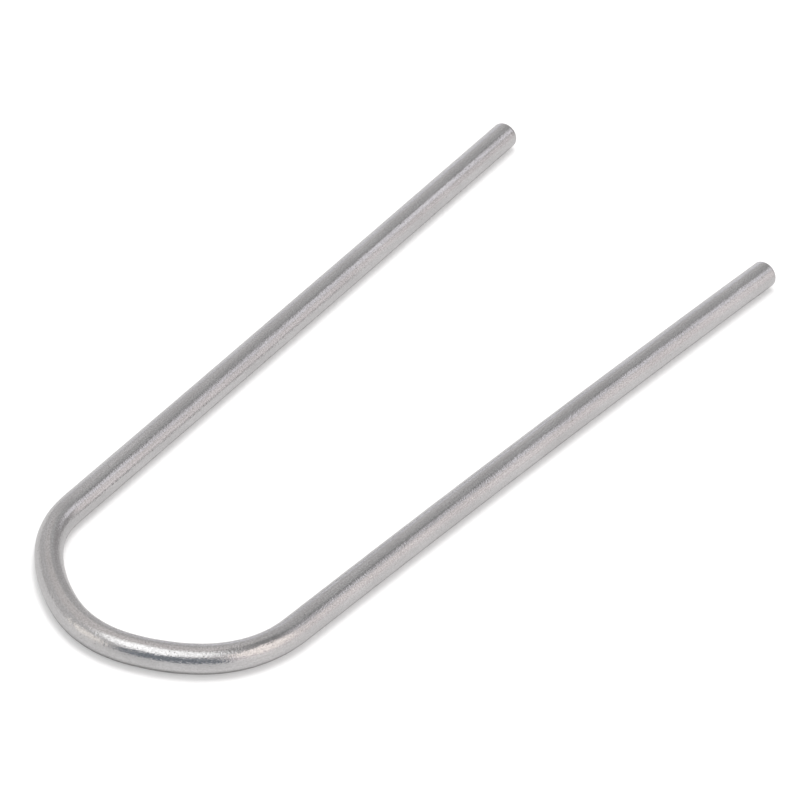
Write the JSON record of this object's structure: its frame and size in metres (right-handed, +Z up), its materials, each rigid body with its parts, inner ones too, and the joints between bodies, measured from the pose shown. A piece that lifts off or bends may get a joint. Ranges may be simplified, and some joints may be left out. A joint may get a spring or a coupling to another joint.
{
  "type": "cable needle",
  "caption": "U-shaped cable needle: a slim round steel rod bent into a long U with blunt ends, for holding stitches while a cable is knitted.",
  "frame": {"origin": "centre of the needle's footprint, on the plane that the needle lies on", "axes": "+Z up, out of the plane of the U; +Y from the bend towards the two tips; +X from the nearly straight leg towards the more bowed one"},
  "size_m": [0.031, 0.079, 0.0025],
  "materials": {
    "steel": "satin drawn steel with fine lengthwise grain, smoother and brighter on the bend"
  },
  "bodies": {
    "root": {"bent_rod": "steel"}
  },
  "joints": []
}
